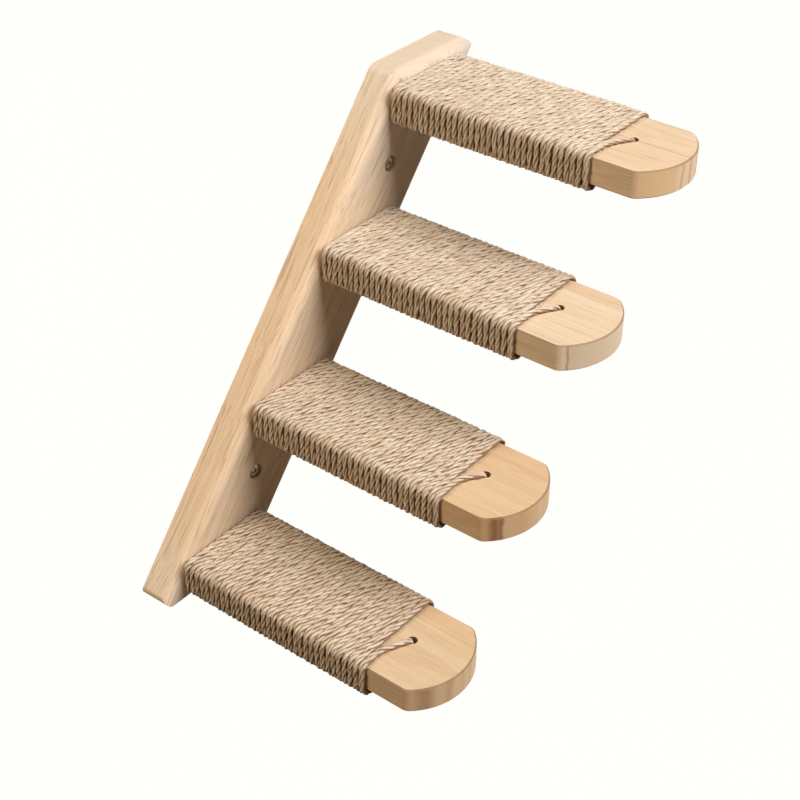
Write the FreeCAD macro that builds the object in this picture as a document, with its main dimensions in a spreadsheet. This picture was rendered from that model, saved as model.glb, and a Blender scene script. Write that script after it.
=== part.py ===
import FreeCAD, Part
import math
import os

import Sketcher
from FreeCAD import Placement, Rotation, Vector

# Cat wall stairs: a leaning rail on the wall carries four level steps, each wound with jute cord.
# The wall is the plane Y = 0, the steps stand out towards -Y, and the rail climbs towards +X.
# The origin is on the rail's back, half way between the two wall screws.

# Driving dimensions, in millimetres and degrees.
DIMENSIONS = {
    "rail_length": 400,
    "rail_width": 73,
    "rail_shift": 4,
    "rail_thick": 25,
    "rail_lean": 40,
    "rail_round": 8,
    "rail_corner_round": 10,
    "rail_foot_round": 4,
    "end_margin": 9.4,
    "step_width": 72.5,
    "step_length": 208.5,
    "step_thick": 19,
    "nose_bow": 18,
    "nose_corner": 8,
    "edge_ease": 1,
    "wrap_length": 159.5,
    "wrap_start": 0.5,
    "cord_turns": 24,
    "cord_width": 4.8,
    "cord_height": 2.7,
    "cord_gap": 0.3,
    "cord_hole": 6.5,
    "cord_hole_depth": 8,
    "cord_hole_reach": 166.5,
    "cord_hole_side": 2,
    "cord_hole_offset": 0.6,
    "cord_notch_inset": 8.25,
    "tail_angle": 28,
    "tail_bend": 12,
    "wall_screw_dia": 5,
    "wall_screw_neck": 3.8,
    "wall_screw_length": 39.5,
    "wall_screw_head": 9.5,
    "wall_screw_head_high": 3.2,
    "wall_screw_crown": 1.2,
    "counterbore_dia": 12,
    "counterbore_depth": 3.5,
    "step_screw_dia": 4.5,
    "step_screw_length": 60,
    "step_screw_head": 8.6,
    "step_screw_sink": 0.3,
    "step_screw_spacing": 36,
    "screw_tip": 5,
    "screw_clear": 0.1,
    "recess_span": 4.6,
    "recess_slot": 1.1,
    "recess_depth": 1.9,
}
STEPS = (1, 2, 3, 4)
TAIL_FACETS = 2

doc = FreeCAD.newDocument("cat_wall_stairs")
sheet = doc.addObject("Spreadsheet::Sheet", "Sizes")
for row, (alias, number) in enumerate(DIMENSIONS.items(), start=1):
    sheet.set(f"A{row}", alias)
    sheet.set(f"B{row}", str(number))
    sheet.setAlias(f"B{row}", alias)
doc.recompute()

# Sizes that follow from the driving ones, as expressions.
LEAN = "Sizes.rail_lean"
RAIL_HIGH = f"(Sizes.rail_length * cos({LEAN}))"
RAIL_REACH = f"(Sizes.rail_length * sin({LEAN}))"
RAIL_LEVEL_WIDTH = f"(Sizes.rail_width / cos({LEAN}))"
RISE = f"(({RAIL_HIGH} - Sizes.step_thick - 2 * Sizes.end_margin) / 3)"
NOSE_RADIUS = "((Sizes.step_width ^ 2 / 4 + Sizes.nose_bow ^ 2) / (2 * Sizes.nose_bow))"
STEP_HOLE = "(Sizes.step_screw_dia + 2 * Sizes.screw_clear)"
NOTCH_CENTRE = "(Sizes.cord_notch_inset - Sizes.step_width / 2)"


def value(expression):
    return float(sheet.evalExpression(expression))


def edge_names(shape, wanted):
    return [f"Edge{i}" for i, edge in enumerate(shape.Edges, start=1) if wanted(edge)]


# Sketches
def new_sketch(body, name, role, offset=None):
    sketch = body.newObject("Sketcher::SketchObject", name)
    plane = next(item for item in body.Origin.OriginFeatures if item.Role == role)
    sketch.AttachmentSupport = [(plane, "")]
    sketch.MapMode = "FlatFace"
    if offset:
        sketch.setExpression("AttachmentOffset.Base.z", offset)
    return sketch


def bind(sketch, kind, *refs, size):
    index = sketch.addConstraint(Sketcher.Constraint(kind, *refs, value(size)))
    sketch.setExpression(f"Constraints[{index}]", size)


def pin(sketch, geometry, position, x, y):
    for kind, axis, size in (("DistanceX", -2, x), ("DistanceY", -1, y)):
        if size == "0":
            sketch.addConstraint(Sketcher.Constraint("PointOnObject", geometry, position, axis))
        else:
            bind(sketch, kind, -1, 1, geometry, position, size=size)


def draw_outline(sketch, corners):
    points = [Vector(value(x), value(y), 0) for x, y in corners]
    count = len(points)
    for i in range(count):
        sketch.addGeometry(Part.LineSegment(points[i], points[(i + 1) % count]))
    for i, (x, y) in enumerate(corners):
        sketch.addConstraint(Sketcher.Constraint("Coincident", i, 1, (i - 1) % count, 2))
        pin(sketch, i, 1, x, y)


def draw_circles(sketch, centres, diameter):
    for x, y in centres:
        centre = Vector(value(x), value(y), 0)
        circle = sketch.addGeometry(Part.Circle(centre, Vector(0, 0, 1), value(diameter) / 2))
        bind(sketch, "Diameter", circle, size=diameter)
        pin(sketch, circle, 3, x, y)


# Features
def add_pad(body, sketch, length, symmetric=False):
    pad = body.newObject("PartDesign::Pad", f"{sketch.Name}_pad")
    pad.Profile = sketch
    pad.setExpression("Length", length)
    if symmetric:
        pad.SideType = "Symmetric"
    doc.recompute()
    return pad


def add_pocket(body, sketch, depth, reverse):
    before = body.Shape.Volume
    pocket = body.newObject("PartDesign::Pocket", f"{sketch.Name}_cut")
    pocket.Profile = sketch
    pocket.setExpression("Length", depth)
    pocket.Reversed = reverse
    doc.recompute()
    if body.Shape.Volume >= before:
        raise RuntimeError(f"{pocket.Name} cuts nothing")


def add_fillet(body, feature, edges, radius):
    fillet = body.newObject("PartDesign::Fillet", f"{feature.Name}_round")
    fillet.Base = (feature, edges)
    fillet.setExpression("Radius", radius)
    doc.recompute()
    return fillet


def add_chamfer(body, feature, edges, size):
    chamfer = body.newObject("PartDesign::Chamfer", f"{feature.Name}_ease")
    chamfer.Base = (feature, edges)
    chamfer.setExpression("Size", size)
    doc.recompute()


def add_holes(body, sketch, diameter, cut, sizes, reverse):
    before = body.Shape.Volume
    hole = body.newObject("PartDesign::Hole", f"{sketch.Name}_drill")
    hole.Profile = sketch
    hole.DepthType = "ThroughAll"
    hole.HoleCutType = cut
    hole.HoleCutCustomValues = True
    hole.Reversed = reverse
    hole.setExpression("Diameter", diameter)
    for prop, size in sizes.items():
        hole.setExpression(prop, size)
    doc.recompute()
    if body.Shape.Volume >= before:
        raise RuntimeError(f"{hole.Name} cuts nothing")


def place(piece, x, y, z):
    for axis, size in zip("xyz", (x, y, z)):
        if size != "0":
            piece.setExpression(f"Placement.Base.{axis}", size)


# Steps count from the top, and their middles lie on the rail's middle line.
def step_height(step):
    return f"({RISE} * ({2.5 - step}))"


def step_centre(step):
    return f"({step_height(step)} * tan({LEAN}))"


# Rail: a slanted outline, rounded over on its front by a long profile and, at the top, by an end profile.
def rail_outline_body():
    body = doc.addObject("PartDesign::Body", "rail_outline")
    sketch = new_sketch(body, "rail_front", "XZ_Plane")
    near = f"({RAIL_REACH} - {RAIL_LEVEL_WIDTH}) / 2"
    far = f"({RAIL_REACH} + {RAIL_LEVEL_WIDTH}) / 2"
    top = f"{RAIL_HIGH} / 2"
    draw_outline(
        sketch,
        [
            (f"{near} + Sizes.rail_shift", top),
            (f"{far} + Sizes.rail_shift", top),
            (f"Sizes.rail_shift - {near}", f"-{top}"),
            (f"Sizes.rail_shift - {far}", f"-{top}"),
        ],
    )
    pad = add_pad(body, sketch, "Sizes.rail_thick")

    def corner(edge, foot):
        level = abs(edge.Vertexes[0].Z - edge.Vertexes[-1].Z) < 1e-6
        runs_back = level and abs(edge.Vertexes[0].X - edge.Vertexes[-1].X) < 1e-6
        return runs_back and (edge.CenterOfMass.x < -value(RAIL_REACH) / 2) == foot

    corners = edge_names(pad.Shape, lambda edge: corner(edge, False))
    rounded = add_fillet(body, pad, corners, "Sizes.rail_corner_round")
    foot = edge_names(rounded.Shape, lambda edge: corner(edge, True))
    add_fillet(body, rounded, foot, "Sizes.rail_foot_round")
    drill_rail(body)
    return body


def drill_rail(body):
    wall = new_sketch(body, "wall_screw_holes", "XZ_Plane", offset="Sizes.rail_thick")
    shank = "(Sizes.wall_screw_dia + 2 * Sizes.screw_clear)"
    centres = [(f"{side} * {RISE} * tan({LEAN})", f"{side} * {RISE}") for side in (1, -1)]
    draw_circles(wall, centres, shank)
    bores = {
        "HoleCutDiameter": "Sizes.counterbore_dia",
        "HoleCutDepth": "Sizes.counterbore_depth",
    }
    add_holes(body, wall, shank, "Counterbore", bores, reverse=False)

    back = new_sketch(body, "step_screw_holes", "XZ_Plane")
    centres = [
        (f"{step_centre(step)} + {side} * Sizes.step_screw_spacing / 2", step_height(step))
        for step in STEPS
        for side in (-1, 1)
    ]
    draw_circles(back, centres, STEP_HOLE)
    sinks = {
        "HoleCutDiameter": "Sizes.step_screw_head + 2 * (Sizes.step_screw_sink + Sizes.screw_clear)",
        "HoleCutCountersinkAngle": "90",
    }
    add_holes(body, back, STEP_HOLE, "Countersink", sinks, reverse=True)


def rounded_profile(name, role, corners, length, front):
    body = doc.addObject("PartDesign::Body", name)
    sketch = new_sketch(body, f"{name}_section", role)
    draw_outline(sketch, corners)
    pad = add_pad(body, sketch, length, symmetric=True)
    add_fillet(body, pad, edge_names(pad.Shape, front), "Sizes.rail_round")
    return body


def make_rail():
    depth = "Sizes.rail_thick"
    half_width = "Sizes.rail_width / 2"
    half_high = f"{RAIL_HIGH} / 2"
    ample = "2 * Sizes.rail_length"

    def on_front(edge, axis):
        ends = [vertex.Point for vertex in edge.Vertexes]
        along = abs(getattr(ends[0], axis) - getattr(ends[-1], axis)) > 1e-6
        return along and all(abs(end.y + value(depth)) < 1e-6 for end in ends)

    long_corners = [
        (f"-{half_width}", f"-{depth}"),
        (half_width, f"-{depth}"),
        (half_width, depth),
        (f"-{half_width}", depth),
    ]
    long_profile = rounded_profile(
        "rail_long_profile", "XY_Plane", long_corners, ample, lambda edge: on_front(edge, "z")
    )
    shift = Vector(value("Sizes.rail_shift"), 0, 0)
    long_profile.Placement = Placement(shift, Rotation(Vector(0, 1, 0), value(LEAN)))
    long_profile.setExpression("Placement.Base.x", "Sizes.rail_shift")
    long_profile.setExpression("Placement.Rotation.Angle", LEAN)
    end_corners = [
        (f"-{depth}", f"-{half_high}"),
        (depth, f"-{half_high}"),
        (depth, half_high),
        (f"-{depth}", half_high),
    ]
    end_profile = rounded_profile(
        "rail_end_profile",
        "YZ_Plane",
        end_corners,
        ample,
        lambda edge: on_front(edge, "x") and edge.CenterOfMass.z > 0,
    )
    outline = rail_outline_body()
    rail = doc.addObject("Part::MultiCommon", "back_rail")
    rail.Shapes = [outline, long_profile, end_profile]
    rail.Refine = True
    return rail


# Step board: straight sides, a bowed nose with rounded corners, eased edges.
def draw_step_outline(sketch):
    half = value("Sizes.step_width") / 2
    length = value("Sizes.step_length")
    corner = value("Sizes.nose_corner")
    bow = value(NOSE_RADIUS)
    bow_centre = Vector(0, bow - length, 0)
    corner_x = half - corner
    corner_y = bow_centre.y - math.sqrt((bow - corner) ** 2 - corner_x**2)
    swing = math.atan2(bow_centre.y - corner_y, corner_x)
    up = Vector(0, 0, 1)

    def arc(x, y, radius, start, end):
        return Part.ArcOfCircle(Part.Circle(Vector(x, y, 0), up, radius), start, end)

    back, right, right_corner, nose, left_corner, left = range(6)
    sketch.addGeometry(Part.LineSegment(Vector(-half, 0, 0), Vector(half, 0, 0)))
    sketch.addGeometry(Part.LineSegment(Vector(half, 0, 0), Vector(half, corner_y, 0)))
    sketch.addGeometry(arc(corner_x, corner_y, corner, -swing, 0))
    sketch.addGeometry(arc(0, bow_centre.y, bow, swing - math.pi, -swing))
    sketch.addGeometry(arc(-corner_x, corner_y, corner, math.pi, math.pi + swing))
    sketch.addGeometry(Part.LineSegment(Vector(-half, corner_y, 0), Vector(-half, 0, 0)))
    start, end, centre = 1, 2, 3
    for kind, *refs in (
        ("Coincident", back, end, right, start),
        ("Tangent", right, end, right_corner, end),
        ("Tangent", right_corner, start, nose, end),
        ("Tangent", nose, start, left_corner, end),
        ("Tangent", left_corner, start, left, start),
        ("Coincident", left, end, back, start),
        ("Vertical", right),
        ("Vertical", left),
        ("PointOnObject", nose, centre, -2),
        ("Equal", right_corner, left_corner),
        ("Symmetric", back, start, back, end, -1, 1),
        ("PointOnObject", back, start, -1),
    ):
        sketch.addConstraint(Sketcher.Constraint(kind, *refs))
    bind(sketch, "DistanceX", back, start, back, end, size="Sizes.step_width")
    bind(sketch, "Radius", right_corner, size="Sizes.nose_corner")
    bind(sketch, "Radius", nose, size=NOSE_RADIUS)
    bind(sketch, "DistanceY", -1, 1, nose, centre, size=f"{NOSE_RADIUS} - Sizes.step_length")


def make_step(step):
    body = doc.addObject("PartDesign::Body", f"step_board_{step}")
    outline = new_sketch(body, f"step_{step}_outline", "XY_Plane")
    draw_step_outline(outline)
    pad = add_pad(body, outline, "Sizes.step_thick", symmetric=True)

    def eased(edge):
        ends = [vertex.Point for vertex in edge.Vertexes]
        level = abs(ends[0].z - ends[-1].z) < 1e-6
        return level and any(end.y < -1e-6 for end in ends)

    add_chamfer(body, pad, edge_names(pad.Shape, eased), "Sizes.edge_ease")

    end_hole = new_sketch(body, f"step_{step}_cord_end", "XY_Plane", offset="Sizes.step_thick / 2")
    draw_circles(end_hole, [("Sizes.cord_hole_side", "-Sizes.cord_hole_reach")], "Sizes.cord_hole")
    add_pocket(body, end_hole, "Sizes.cord_hole_depth", reverse=False)

    notch = new_sketch(body, f"step_{step}_cord_notch", "XY_Plane", offset="-Sizes.step_thick / 2")
    notch_left = f"{NOTCH_CENTRE} - Sizes.cord_hole / 2"
    notch_right = f"{NOTCH_CENTRE} + Sizes.cord_hole / 2"
    notch_end = "-(Sizes.wrap_start + Sizes.cord_width + Sizes.cord_gap)"
    draw_outline(
        notch,
        [(notch_left, "0"), (notch_left, notch_end), (notch_right, notch_end), (notch_right, "0")],
    )
    add_pocket(body, notch, "Sizes.cord_hole_depth", reverse=True)

    pilots = new_sketch(body, f"step_{step}_pilots", "XZ_Plane")
    draw_circles(pilots, [(f"{side} * Sizes.step_screw_spacing / 2", "0") for side in (-1, 1)], STEP_HOLE)
    depth = "Sizes.step_screw_sink + Sizes.step_screw_length - Sizes.rail_thick + Sizes.screw_clear"
    add_pocket(body, pilots, depth, reverse=True)
    place(body, step_centre(step), "-Sizes.rail_thick", step_height(step))
    return body


# Screws: turned about local Z with the head's top at the origin and the point towards +Z.
def add_turning(body, sketch):
    turned = body.newObject("PartDesign::Revolution", f"{sketch.Name}_turned")
    turned.Profile = sketch
    turned.ReferenceAxis = (sketch, ["V_Axis"])
    turned.Angle = 360
    doc.recompute()


def add_cross_recess(body, name):
    sketch = new_sketch(body, f"{name}_cross", "XY_Plane")
    arm = "Sizes.recess_span / 2"
    slot = "Sizes.recess_slot / 2"
    quarter = [(arm, slot), (slot, slot), (slot, arm)]
    corners = []
    for sign_x, sign_y, order in ((1, 1, 1), (-1, 1, -1), (-1, -1, 1), (1, -1, -1)):
        for x, y in quarter[::order]:
            corners.append((f"{sign_x} * {x}", f"{sign_y} * {y}"))
    draw_outline(sketch, corners)
    add_pocket(body, sketch, "Sizes.recess_depth", reverse=True)


def make_wall_screw(name, side):
    body = doc.addObject("PartDesign::Body", name)
    sketch = new_sketch(body, f"{name}_half", "XZ_Plane")
    head = "Sizes.wall_screw_head / 2"
    neck = "Sizes.wall_screw_neck / 2"
    thread = "Sizes.wall_screw_dia / 2"
    rail_back = "Sizes.wall_screw_head_high + Sizes.rail_thick - Sizes.counterbore_depth"
    length = "Sizes.wall_screw_length"
    draw_outline(
        sketch,
        [
            ("0", "0"),
            (f"{head} - Sizes.wall_screw_crown", "0"),
            (head, "Sizes.wall_screw_crown"),
            (head, "Sizes.wall_screw_head_high"),
            (neck, "Sizes.wall_screw_head_high"),
            (neck, rail_back),
            (thread, rail_back),
            (thread, f"{length} - Sizes.screw_tip"),
            ("0", length),
        ],
    )
    add_turning(body, sketch)
    add_cross_recess(body, name)
    body.Placement = Placement(Vector(), Rotation(Vector(1, 0, 0), -90))
    seat = "-Sizes.rail_thick + Sizes.counterbore_depth - Sizes.wall_screw_head_high"
    place(body, f"{side} * {RISE} * tan({LEAN})", seat, f"{side} * {RISE}")
    return body


def make_step_screw(step, name, side):
    body = doc.addObject("PartDesign::Body", f"step_screw_{step}_{name}")
    sketch = new_sketch(body, f"step_screw_{step}_{name}_half", "XZ_Plane")
    head = "Sizes.step_screw_head / 2"
    shank = "Sizes.step_screw_dia / 2"
    length = "Sizes.step_screw_length"
    draw_outline(
        sketch,
        [("0", "0"), (head, "0"), (shank, f"{head} - {shank}"), (shank, length), ("0", length)],
    )
    add_turning(body, sketch)
    body.Placement = Placement(Vector(), Rotation(Vector(1, 0, 0), 90))
    across = f"{step_centre(step)} + {side} * Sizes.step_screw_spacing / 2"
    place(body, across, "-Sizes.step_screw_sink", step_height(step))
    return body


# Jute winding: one cord out of a notch under the step, round and round, and into a hole on top.
# Arcs at every corner would pass the facet limit, so the cord lies flat on the step's eased edges.
def winding_rings():
    half_width = value("Sizes.step_width") / 2
    half_thick = value("Sizes.step_thick") / 2
    ease = value("Sizes.edge_ease")
    gap = value("Sizes.cord_gap")
    height = value("Sizes.cord_height")
    width = value("Sizes.cord_width")
    turns = round(value("Sizes.cord_turns"))
    first = -(value("Sizes.wrap_start") + width / 2)
    last = -(value("Sizes.wrap_length") - width / 2)
    mitre = math.tan(math.radians(45 / 2))
    forward = Vector(1, 0, 0)
    sideways = Vector(0, 1, 0)
    rings = []

    def add_ring(inner, outer, across):
        half = across * (width / 2)
        rings.append([inner - half, inner + half, outer + half, outer - half])

    # A ring where the cord bends round an eased edge, on its level face or on its upright one.
    def edge_ring(face, heading, z_sign, on_level, across=sideways):
        def point(lift):
            out, up = (mitre * lift - ease, lift) if on_level else (lift, mitre * lift - ease)
            return face + heading * out + Vector(0, 0, z_sign * (half_thick + up))

        add_ring(point(gap), point(gap + height), across)

    # The cord's end, one width deep in the notch or hole.
    def end_ring(face, heading, z_sign, across=sideways):
        end = face + Vector(0, 0, z_sign * (half_thick - ease - width))
        add_ring(end + heading * gap, end + heading * (gap + height), across)

    notch_face = Vector(value(NOTCH_CENTRE) - gap - height / 2, first, 0)
    end_ring(notch_face, forward, -1)
    edge_ring(notch_face, forward, -1, on_level=False)
    edge_ring(notch_face, forward, -1, on_level=True)

    # Each turn goes up the left side, over the top and down the right side. The pitch is gained below.
    for turn in range(turns + 1):
        y = first + (last - first) * turn / turns
        left = Vector(-half_width, y, 0)
        right = Vector(half_width, y, 0)
        for z_sign, on_level in ((-1, True), (-1, False), (1, False), (1, True)):
            edge_ring(left, -forward, z_sign, on_level)
        if turn < turns:
            for z_sign, on_level in ((1, True), (1, False), (-1, False), (-1, True)):
                edge_ring(right, forward, z_sign, on_level)

    # The tail veers off the last turn, slants to the hole and dives in.
    slant = value("Sizes.tail_angle")
    turned = Rotation(Vector(0, 0, 1), -slant)
    heading = turned.multVec(forward)
    across = turned.multVec(sideways)
    hole = Vector(value("Sizes.cord_hole_side"), -value("Sizes.cord_hole_reach"), 0)
    bend = value("Sizes.tail_bend")
    veer_along = bend * (1 - math.cos(math.radians(slant)))
    veer_across = bend * math.sin(math.radians(slant))
    slanted = (last - veer_along - hole.y) / math.sin(math.radians(slant))
    centre = hole - heading * slanted + Vector(-veer_across, veer_along - bend, 0)
    stretch = 1 / math.cos(math.radians(slant / TAIL_FACETS / 2))
    for facet in range(TAIL_FACETS):
        part_turn = Rotation(Vector(0, 0, 1), -slant * (facet + 0.5) / TAIL_FACETS)
        mitred = part_turn.multVec(sideways) * stretch
        middle = centre + mitred * bend + Vector(0, 0, half_thick)
        add_ring(middle + Vector(0, 0, gap), middle + Vector(0, 0, gap + height), mitred)
    hole_face = hole + heading * (value("Sizes.cord_hole_offset") - gap - height / 2)
    edge_ring(hole_face, heading, 1, True, across)
    edge_ring(hole_face, heading, 1, False, across)
    end_ring(hole_face, heading, 1, across)
    return rings


def panel(*corners):
    return Part.Face(Part.makePolygon([*corners, corners[0]]))


def side_panels(a, b, c, d):
    if abs(d.distanceToPlane(a, (b - a).cross(c - a))) < 1e-6:
        return [panel(a, b, c, d)]
    return [panel(a, b, c), panel(a, c, d)]


def least_gap(path):
    spacing = 1.5
    reach = 3 * value("Sizes.cord_width")
    points = path.discretize(Distance=spacing)
    skip = math.ceil(reach / spacing)
    cells = {}
    for i, point in enumerate(points):
        key = tuple(math.floor(part / reach) for part in point)
        cells.setdefault(key, []).append(i)
    near = [(a, b, c) for a in (-1, 0, 1) for b in (-1, 0, 1) for c in (-1, 0, 1)]
    best = reach
    for (a, b, c), members in cells.items():
        others = [j for da, db, dc in near for j in cells.get((a + da, b + db, c + dc), [])]
        for i in members:
            for j in others:
                if j - i > skip:
                    best = min(best, points[i].distanceToPoint(points[j]))
    return best - value("Sizes.cord_width")


def wound_cord():
    rings = winding_rings()
    faces = [panel(*rings[0]), panel(*rings[-1])]
    for near, far in zip(rings, rings[1:]):
        for i in range(4):
            faces += side_panels(near[i - 1], near[i], far[i], far[i - 1])
    cord = Part.Solid(Part.Shell(faces))
    path = Part.makePolygon([(ring[0] + ring[2]) / 2 for ring in rings])
    expected = value("Sizes.cord_width * Sizes.cord_height") * path.Length
    print(f"cord: {path.Length:.0f} mm long, least gap to itself {least_gap(path):.2f} mm")
    print(f"cord: volume {cord.Volume:.0f} mm3, section times length {expected:.0f} mm3")
    return cord


def make_wrap(step, cord):
    wrap = doc.addObject("Part::Feature", f"jute_wrap_{step}")
    wrap.Shape = cord
    place(wrap, step_centre(step), "-Sizes.rail_thick", step_height(step))
    return wrap


def make_all():
    pieces = [make_rail()]
    cord = wound_cord()
    for step in STEPS:
        pieces.append(make_step(step))
        pieces.append(make_wrap(step, cord))
        for name, side in (("left", -1), ("right", 1)):
            pieces.append(make_step_screw(step, name, side))
    for name, side in (("wall_screw_upper", 1), ("wall_screw_lower", -1)):
        pieces.append(make_wall_screw(name, side))
    return pieces


pieces = make_all()
doc.recompute()
for item in doc.Objects:
    if "Invalid" in item.State or "Error" in item.State:
        raise RuntimeError(f"{item.Name} failed: {item.State}")
for piece in pieces:
    if piece.Shape.isNull() or not piece.Shape.isValid():
        raise RuntimeError(f"{piece.Label} has no valid shape")

os.makedirs("parts", exist_ok=True)
for piece in pieces:
    piece.Shape.exportStep(f"parts/{piece.Label}.step")
print(f"{len(pieces)} pieces written")
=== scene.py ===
import math

import bpy
import numpy as np
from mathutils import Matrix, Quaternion, Vector


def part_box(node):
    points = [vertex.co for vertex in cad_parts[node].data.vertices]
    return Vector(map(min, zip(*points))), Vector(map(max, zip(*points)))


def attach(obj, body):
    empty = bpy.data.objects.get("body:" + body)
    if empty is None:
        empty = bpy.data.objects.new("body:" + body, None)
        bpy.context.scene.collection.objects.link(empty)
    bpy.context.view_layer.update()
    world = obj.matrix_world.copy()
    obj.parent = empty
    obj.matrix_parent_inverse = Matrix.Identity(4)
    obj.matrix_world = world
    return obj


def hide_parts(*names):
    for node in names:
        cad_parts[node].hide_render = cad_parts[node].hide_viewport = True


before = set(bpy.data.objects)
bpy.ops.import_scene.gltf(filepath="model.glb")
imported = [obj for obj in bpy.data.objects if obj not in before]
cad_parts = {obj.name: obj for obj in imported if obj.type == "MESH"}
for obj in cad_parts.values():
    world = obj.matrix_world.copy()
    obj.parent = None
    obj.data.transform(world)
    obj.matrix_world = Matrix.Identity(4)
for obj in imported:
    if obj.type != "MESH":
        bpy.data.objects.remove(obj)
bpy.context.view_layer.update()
scene = bpy.context.scene
scene.view_settings.view_transform = "Standard"
mm = 0.001
fullTurn = 2 * math.pi
steps = (1, 2, 3, 4)  # step 1 is the top one
cordHole = {"x": 2.0 * mm, "y": -166.5 * mm, "radius": 3.25 * mm}  # from the middle of a step's root
print("frame loaded:", len(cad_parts), "nodes")


# node helpers: an input is a value or another node's output
def setInputs(tree, node, inputs):
    for name, value in inputs.items():
        if isinstance(value, bpy.types.NodeSocket):
            tree.links.new(value, node.inputs[name])
        else:
            node.inputs[name].default_value = value


def addNode(tree, kind, inputs=None, **settings):
    node = tree.nodes.new("ShaderNode" + kind)
    for name, setting in settings.items():
        setattr(node, name, setting)
    setInputs(tree, node, inputs or {})
    return node


def calc(tree, operation, a, b=0.0):
    return addNode(tree, "Math", {0: a, 1: b}, operation=operation).outputs[0]


def times(tree, a, b):
    return calc(tree, "MULTIPLY", a, b)


def distance(tree, a, b):
    return calc(tree, "ABSOLUTE", calc(tree, "SUBTRACT", a, b))


def vectorCalc(tree, operation, a, b=(0.0, 0.0, 0.0)):
    node = addNode(tree, "VectorMath", {0: a, 1: b}, operation=operation)
    return node.outputs["Value" if operation in ("DOT_PRODUCT", "LENGTH") else "Vector"]


def combine(tree, x=0.0, y=0.0, z=0.0):
    return addNode(tree, "CombineXYZ", {"X": x, "Y": y, "Z": z}).outputs[0]


# how squarely a surface faces an axis, either way
def facing(tree, normal, axis):
    return calc(tree, "ABSOLUTE", vectorCalc(tree, "DOT_PRODUCT", normal, axis))


def fitRange(tree, value, span, to=(0.0, 1.0)):
    inputs = {"Value": value, "From Min": span[0], "From Max": span[1], "To Min": to[0], "To Max": to[1]}
    return addNode(tree, "MapRange", inputs, interpolation_type="SMOOTHSTEP").outputs["Result"]


def rgba(colour):
    return (*colour, 1.0)


def blendColour(tree, amount, low, high):
    low, high = (rgba(end) if isinstance(end, tuple) else end for end in (low, high))
    return addNode(tree, "Mix", {0: amount, 6: low, 7: high}, data_type="RGBA").outputs[2]


def stretchedNoise(tree, vector, scale, detail=2.0, roughness=0.5):
    stretched = vectorCalc(tree, "MULTIPLY", vector, scale)
    inputs = {"Vector": stretched, "Scale": 1.0, "Detail": detail, "Roughness": roughness}
    return addNode(tree, "TexNoise", inputs).outputs["Fac"]


def bumpNormal(tree, height, bump):
    strength, reach = bump
    inputs = {"Strength": strength, "Distance": reach, "Height": height}
    return addNode(tree, "Bump", inputs).outputs["Normal"]


def objectPlace(tree):
    return addNode(tree, "TexCoord").outputs["Object"]


def newGroup(name, inputs, outputs):
    tree = bpy.data.node_groups.new(name, "ShaderNodeTree")
    for direction, sockets in (("INPUT", inputs), ("OUTPUT", outputs)):
        for socketName, kind in sockets.items():
            tree.interface.new_socket(socketName, in_out=direction, socket_type="NodeSocket" + kind)
    return tree, tree.nodes.new("NodeGroupInput").outputs, tree.nodes.new("NodeGroupOutput").inputs


def newMaterial(name):
    material = bpy.data.materials.new(name)
    material.use_nodes = True
    tree = material.node_tree
    return material, tree, tree.nodes["Principled BSDF"]


def dress(node, material):
    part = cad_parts[node]
    part.data.materials.clear()
    part.data.materials.append(material)


# mesh helpers
def smooth(value, span):
    share = np.clip((value - span[0]) / (span[1] - span[0]), 0, 1)
    return share * share * (3 - 2 * share)


def unit(vectors):
    return vectors / np.linalg.norm(vectors, axis=-1, keepdims=True)


def tubeMesh(rings):
    count, sides = rings.shape[:2]
    ring = np.arange(count - 1)[:, None] * sides
    side = np.arange(sides)[None, :]
    after = (side + 1) % sides
    quads = np.stack([ring + side, ring + after, ring + sides + after, ring + sides + side], axis=-1)
    return rings.reshape(-1, 3), quads.reshape(-1, 4)


# wood has x across the board, y along the grain and z through it, in metres
woodGrowth = {  # noise scales are cycles per metre along x, y and z
    "drift": (17, 2.4, 17),  # rings wander slowly
    "shake": (90, 9, 90),  # and quiver a little
    "shakeReach": 2.2 * mm,
    "lateCurve": 2.2,  # a ring darkens slowly
    "ringEnd": (0.88, 1.0),  # and the next one starts pale
    "patches": (60, 5, 60),  # rings are stronger here and there
    "patchRange": (0.3, 0.7),
    "patchStrength": (0.25, 1.0),
    "bend": (14, 7, 14),  # fibres run a little crooked
    "bendReach": 14 * mm,
    "fibre": (1300, 17, 1300),
    "pore": (1100, 15, 1100),
    "poreRange": (0.58, 0.68),
    "tone": (38, 4, 38),
}


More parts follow.
